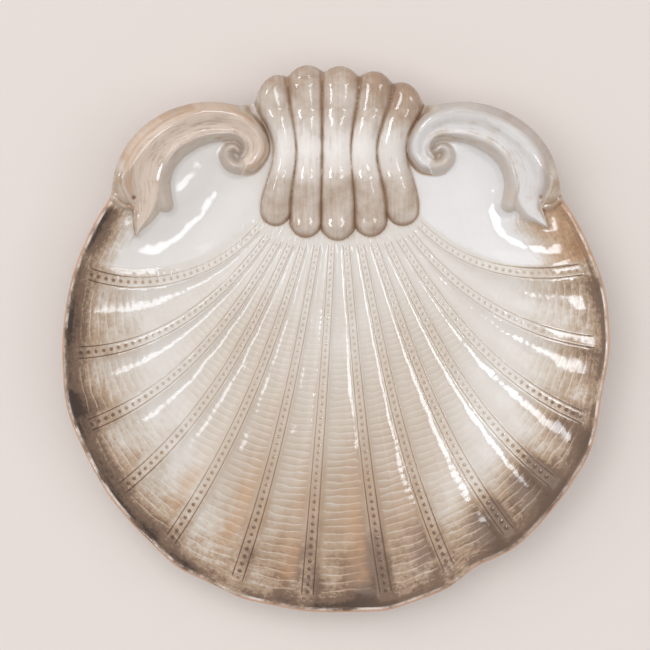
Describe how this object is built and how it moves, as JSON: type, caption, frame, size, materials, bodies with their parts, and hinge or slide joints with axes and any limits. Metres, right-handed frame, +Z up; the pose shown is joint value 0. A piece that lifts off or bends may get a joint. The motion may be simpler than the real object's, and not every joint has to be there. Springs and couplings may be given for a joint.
{
  "type": "scallop shell dish",
  "caption": "Shallow glazed ceramic serving dish shaped as a scallop shell, with beaded ribs, a gadrooned knuckle and scroll handles.",
  "frame": {"origin": "under the middle of the dish's outline, on the surface that its foot ring stands on", "axes": "+Z up out of the dish, +Y towards the lobed knuckle, +X to the right when the knuckle is at the far side"},
  "size_m": [0.3219, 0.322, 0.0551],
  "materials": {
    "glaze": "clear gloss glaze over ivory, with a tan and grey-brown wash towards the rim"
  },
  "bodies": {
    "root": {"shell_dish": "glaze"}
  },
  "joints": []
}
